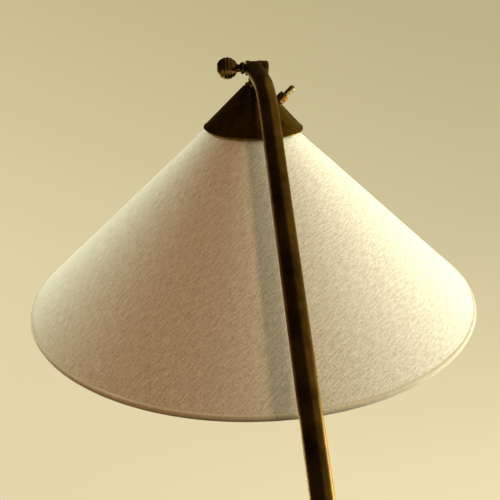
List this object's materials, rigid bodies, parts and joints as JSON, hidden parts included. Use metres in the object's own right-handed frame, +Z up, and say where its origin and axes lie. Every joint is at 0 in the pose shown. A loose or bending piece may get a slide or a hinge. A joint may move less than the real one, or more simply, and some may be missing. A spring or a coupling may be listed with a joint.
{
  "type": "floor lamp",
  "caption": "Bridge floor lamp: a bent brass stem on a round weighted foot carries, on a tilting clamped knuckle, a cone cap with a lever switch and a wide linen cone shade.",
  "frame": {"origin": "centre of the round foot's underside, on the floor", "axes": "+Z up, +Y the way the stem leans and the shade reaches, +X to the right seen from behind the stem"},
  "size_m": [0.4518, 0.7702, 1.39],
  "materials": {
    "aged_brass": "dark aged brass, satin, brushed along the tube",
    "warm_brass": "aged brass, satin, spun marks round the axis",
    "steel": "zinc-plated steel",
    "iron": "black-painted casting",
    "felt": "wool felt",
    "rubber": "matt",
    "linen": "natural linen, plain weave",
    "binding": "linen tape",
    "liner": "white lampshade film",
    "opal_glass": "opal",
    "porcelain": "glazed",
    "holder_brass": "bright brass, satin",
    "copper": "bare contact metal",
    "sleeving": "wire sleeving",
    "red_sleeving": "wire sleeving",
    "fibre": "vulcanised fibre",
    "bakelite": "moulded",
    "bulb_black": "bulb-cap insulator"
  },
  "bodies": {
    "stand": {"felt_pad": "felt", "base_weight": "iron", "base_cover": "aged_brass", "inlet_bush": "rubber", "stem_plug": "warm_brass", "base_washer": "steel", "base_nut": "steel", "stem_collar": "aged_brass", "stem": "aged_brass", "stem_lead": "sleeving", "fork": "aged_brass", "friction_washers": "fibre", "end_nut": "aged_brass"},
    "shade_head": {"pivot_eye": "aged_brass", "cap_lock_nut": "aged_brass", "cone_cap": "warm_brass", "cap_washer": "steel", "cap_under_nut": "steel", "holder_shell": "holder_brass", "holder_core": "porcelain", "holder_contacts": "copper", "holder_skirt": "holder_brass", "holder_leads": "red_sleeving", "shade_rings": "holder_brass", "shade_carrier": "steel", "hem_wire": "steel", "shade_cloth": "linen", "shade_liner": "liner", "top_binding": "binding", "hem_binding": "binding", "bulb_glass": "opal_glass", "bulb_cap": "steel", "bulb_contact": "bulb_black", "switch_bush": "holder_brass", "switch_nut": "steel", "switch_body": "bakelite", "switch_terminals": "copper", "switch_leads": "red_sleeving"},
    "clamp": {"clamp_screw": "warm_brass", "clamp_bead": "aged_brass", "clamp_knob": "aged_brass"},
    "lever": {"switch_lever": "holder_brass"}
  },
  "joints": [
    {"name": "shade_tilt", "type": "hinge", "parent": "stand", "child": "shade_head", "pos_m": [0, 0.3181, 1.38], "axis": [1, 0, 0], "range_deg": [-12, 50]},
    {"name": "clamp_turn", "type": "hinge", "parent": "stand", "child": "clamp", "pos_m": [0, 0.3181, 1.38], "axis": [-1, 0, 0], "range_deg": [0, 360]},
    {"name": "switch_flip", "type": "hinge", "parent": "shade_head", "child": "lever", "pos_m": [0.02615, 0.33353, 1.3557], "axis": [-0.6976, -0.3847, 0.6044], "range_deg": [0, 16]}
  ]
}
